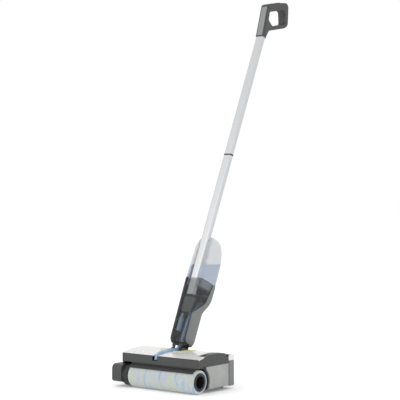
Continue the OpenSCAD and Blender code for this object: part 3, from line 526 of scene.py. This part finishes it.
# Outside of the housing as [z, x0, x1, y0, y1, radius]
CASING = [
    [33, -26, 26, -18, 20, 8], [37, -28, 28, -22, 22, 10], [46, -30.5, 30.5, -25, 24, 11],
    [60, -31, 31, -26, 25, 12], [125, -31, 31, -27, 25, 12], [138, -31, 31, -27.3, 28, 12],
    [150, -31, 31, -27.6, 35, 12], [166, -31, 31, -28, 45.5, 12], [176, -31, 31, -28.2, 49.5, 12],
    [190, -31, 31, -28.5, 51.5, 12], [226, -31, 31, -29, 52, 12],
]
CASING_WALL = 2.5


def casing_shell(name, material):
    """The whole housing wall, closed at its rims."""
    sections = fine_sections(CASING, 6)
    outer = [box_ring(s, 0, 10) for s in sections]
    inner = [box_ring(s, CASING_WALL, 10) for s in reversed(sections)]
    rings = outer + inner
    points = [p for ring in rings for p in ring]
    return piece(name, points, ring_faces(len(rings[0]), len(rings)), material, HANDLE, 30)


def housing():
    """The housing in five shells: the see-through front, the two parts of the flank, the strip and the back.
    The black strip at the front left is painted shade and the grey flank on the right is painted light, a
    shaded and a lit copy of one housing colour.
    """
    window_zone = [(-35, 29), (3, 29), (8, 60), (8, 130), (22, 170), (34, 228), (-35, 228)]
    front_x, flank_x = -18, 27.5
    joint = 0.15
    # The flank is see-through above a slanting line
    upper_part = [(-60, 88), (60, 203), (60, 260), (-60, 260)]

    def zone(x0, x1):
        return prism("zone", window_zone, x0, x1, "x", HANDLE)

    pane = casing_shell("housing_window", "smoked_plastic")
    combine(pane, zone(front_x + joint, flank_x - joint), "INTERSECT", 30)
    # The flank's grey is painted light: the lit copy of the housing colour on the right side.
    flank = casing_shell("housing_flank", "grey_plastic")
    combine(flank, zone(flank_x, 40), "INTERSECT", 30)
    combine(flank, prism("tool", upper_part, 20, 50, "x", HANDLE), angle=30)
    flank_pane = casing_shell("housing_flank_window", "smoked_plastic")
    combine(flank_pane, zone(flank_x, 40), "INTERSECT", 30)
    combine(flank_pane, prism("tool", upper_part, 20, 50, "x", HANDLE), "INTERSECT", 30)
    back = casing_shell("housing_back", "grey_plastic")
    combine(back, zone(front_x - 60, 60), "DIFFERENCE", 30)
    # The strip at the front left is black for painted shade: the shaded copy of the housing colour.
    strip = casing_shell("housing_strip_painted_shade", "black_plastic")
    combine(strip, zone(front_x - 60, front_x), "INTERSECT", 30)
    for shell in (pane, flank, flank_pane, back, strip):
        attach(shell, "wand")
    for x, z in ((-7, 54), (7, 54), (-7, 62), (7, 62)):
        seat = HANDLE @ Matrix.Translation(Vector((x, 26, z)) * MM)
        combine(back, round_tool(seat, 2.8, 4.1, "y"), angle=30)
    socket = HANDLE @ Matrix.Translation(Vector((0, 32, 76)) * MM)
    combine(back, round_tool(socket, 6.05, 20, "y"), angle=30)
    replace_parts(pane, "front_cover")
    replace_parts(back, "rear_casing")
    carrier = valve_carrier()
    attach(carrier, "wand")


def circle(radius, steps=48, middle=0):
    """A round outline, moved along its second axis to middle."""
    turns = [2 * math.pi * k / steps for k in range(steps)]
    return [(radius * math.cos(turn), middle + radius * math.sin(turn)) for turn in turns]


def round_tool(place, radius, depth, along):
    """A cylinder to cut with, from a given depth up to its placed end."""
    return prism("tool", circle(radius, 40), -depth, 0, along, place)


def valve_carrier():
    """The cross wall that holds the seat of the tank's valve."""
    outline = box_ring([186, -28, 28, 17.5, 48.5, 9])
    wall = prism("valve_carrier", [(x, y) for x, y, z in outline], 186, 188.5, "z", HANDLE, "grey_plastic")
    combine(wall, prism("tool", circle(13.1, middle=36), 180, 195, "z", HANDLE))
    return wall


# ---- fresh water tank ----

# The foot in the housing and the body above it, as [z, x0, x1, y0, y1, radius]
TANK = [
    [204, -27.4, 27.4, -24.6, 48, 9], [226.6, -27.6, 27.6, -24.8, 48.4, 10],
]
TANK_BODY = [
    [227, -31, 31, -28.5, 51.8, 12], [270, -31, 31, -28, 52, 13], [293, -31, 31, -27.5, 51, 13],
    [310, -31, 31, -27, 48.5, 14], [323, -30.5, 30.5, -26.5, 45, 14], [335, -29, 29, -25, 40.5, 14],
    [345, -26.5, 26.5, -22.5, 36, 14], [351, -23.5, 23.5, -18, 32.5, 13], [357, -18, 18, -11, 28, 12],
    [361, -11, 11, -2, 23, 10], [362.5, -5, 5, 5, 18, 4.5],
]
TANK_WALL = 1.8
WATER_LEVEL = 340


def tank_rings(inset):
    """The tank's outlines from foot to crown, moved in by inset."""
    body = fine_sections(TANK_BODY, 5)
    lower = [box_ring([s[0] + (inset if i == 0 else 0), *s[1:]], inset, 10) for i, s in enumerate(TANK)]
    top, crown = TANK_BODY[-1][0], 358
    upper = []
    for s in body:
        grow = inset if s[0] < crown else inset * 0.8
        upper.append(box_ring([min(s[0], top - inset), *s[1:]], grow, 10))
    return lower + upper


def tube_slot(grow):
    """The slot down the tank's front that the tube lies in."""
    return slab("slot", (-15.4 - grow, -60, 180), (15.4 + grow, -8.3 + grow, 400), HANDLE)


def fresh_tank():
    """The clear tank with its slot for the tube, hollow, and the water inside it."""
    shell = lofted("tank_shell", tank_rings(0), "clear_plastic", HANDLE, 35)
    combine(shell, tube_slot(0))
    hollow = lofted("tank_hollow", tank_rings(TANK_WALL), "clear_plastic", HANDLE, 35)
    combine(hollow, tube_slot(TANK_WALL))
    combine(shell, hollow, angle=35)
    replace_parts(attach(shell, "tank"), "fresh_tank", "tank_top")

    water_inset = TANK_WALL + 0.15
    water = lofted("tank_water", tank_rings(water_inset), "water", HANDLE, 35)
    combine(water, tube_slot(water_inset))
    cover = slab("above", (-300, -300, WATER_LEVEL), (300, 300, 900))
    combine(water, cover, angle=35)
    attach(water, "tank")


# ---- handle ----

def loop_handle():
    """The closed loop with rounded edges, the strip's recess and the seats for the button and the trigger."""
    z = TUBE_Z2
    outer = rounded([
        (-25, z, 0), (-37.7, z + 105, 14), (-4.7, z + 129, 30), (55, z + 164, 15), (80, z + 96, 17),
        (67.5, z + 80, 12), (-3, z + 31, 16), (-8, z + 8, 6), (-8, z, 0),
    ], 12)
    hole = rounded([
        (-21.5, z + 87, 8), (45.5, z + 133, 11), (66, z + 94, 9), (9, z + 53, 10), (-17.5, z + 61, 9),
    ], 12)
    loop = prism("loop_handle", outer, -14, 14, "x", HANDLE)
    combine(loop, prism("hole", hole, -20, 20, "x", HANDLE))
    soften(loop, 3.6, 5, 50)
    trim = rounded([(-10.1, 3.9, 3), (10.1, 3.9, 3), (10.1, 98.1, 3), (-10.1, 98.1, 3)])
    strut_turn = Matrix.Rotation(math.radians(6.9), 4, "X")
    strut = HANDLE @ Matrix.Translation(Vector((0, -25, z)) * MM) @ strut_turn
    combine(loop, prism("recess", trim, -6, 1.6, "y", strut), angle=50)
    button_turn = Matrix.Rotation(math.radians(30), 4, "X")
    seat = HANDLE @ Matrix.Translation(Vector((0, 22, z + 143.2)) * MM) @ button_turn
    combine(loop, prism("seat", circle(7.3), -8.2, 6, "z", seat), angle=50)
    trigger = rounded([
        (-28.1, z + 63.7, 1), (-13.2, z + 63.7, 3), (-15.2, z + 82.3, 3), (-28.1, z + 82.3, 1),
    ])
    combine(loop, prism("seat", trigger, -6.3, 6.3, "x", HANDLE), angle=50)
    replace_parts(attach(loop, "wand"), "handle_frame")


stage()
roller_pile()
hose()
neck_lead()
housing()
fresh_tank()
loop_handle()
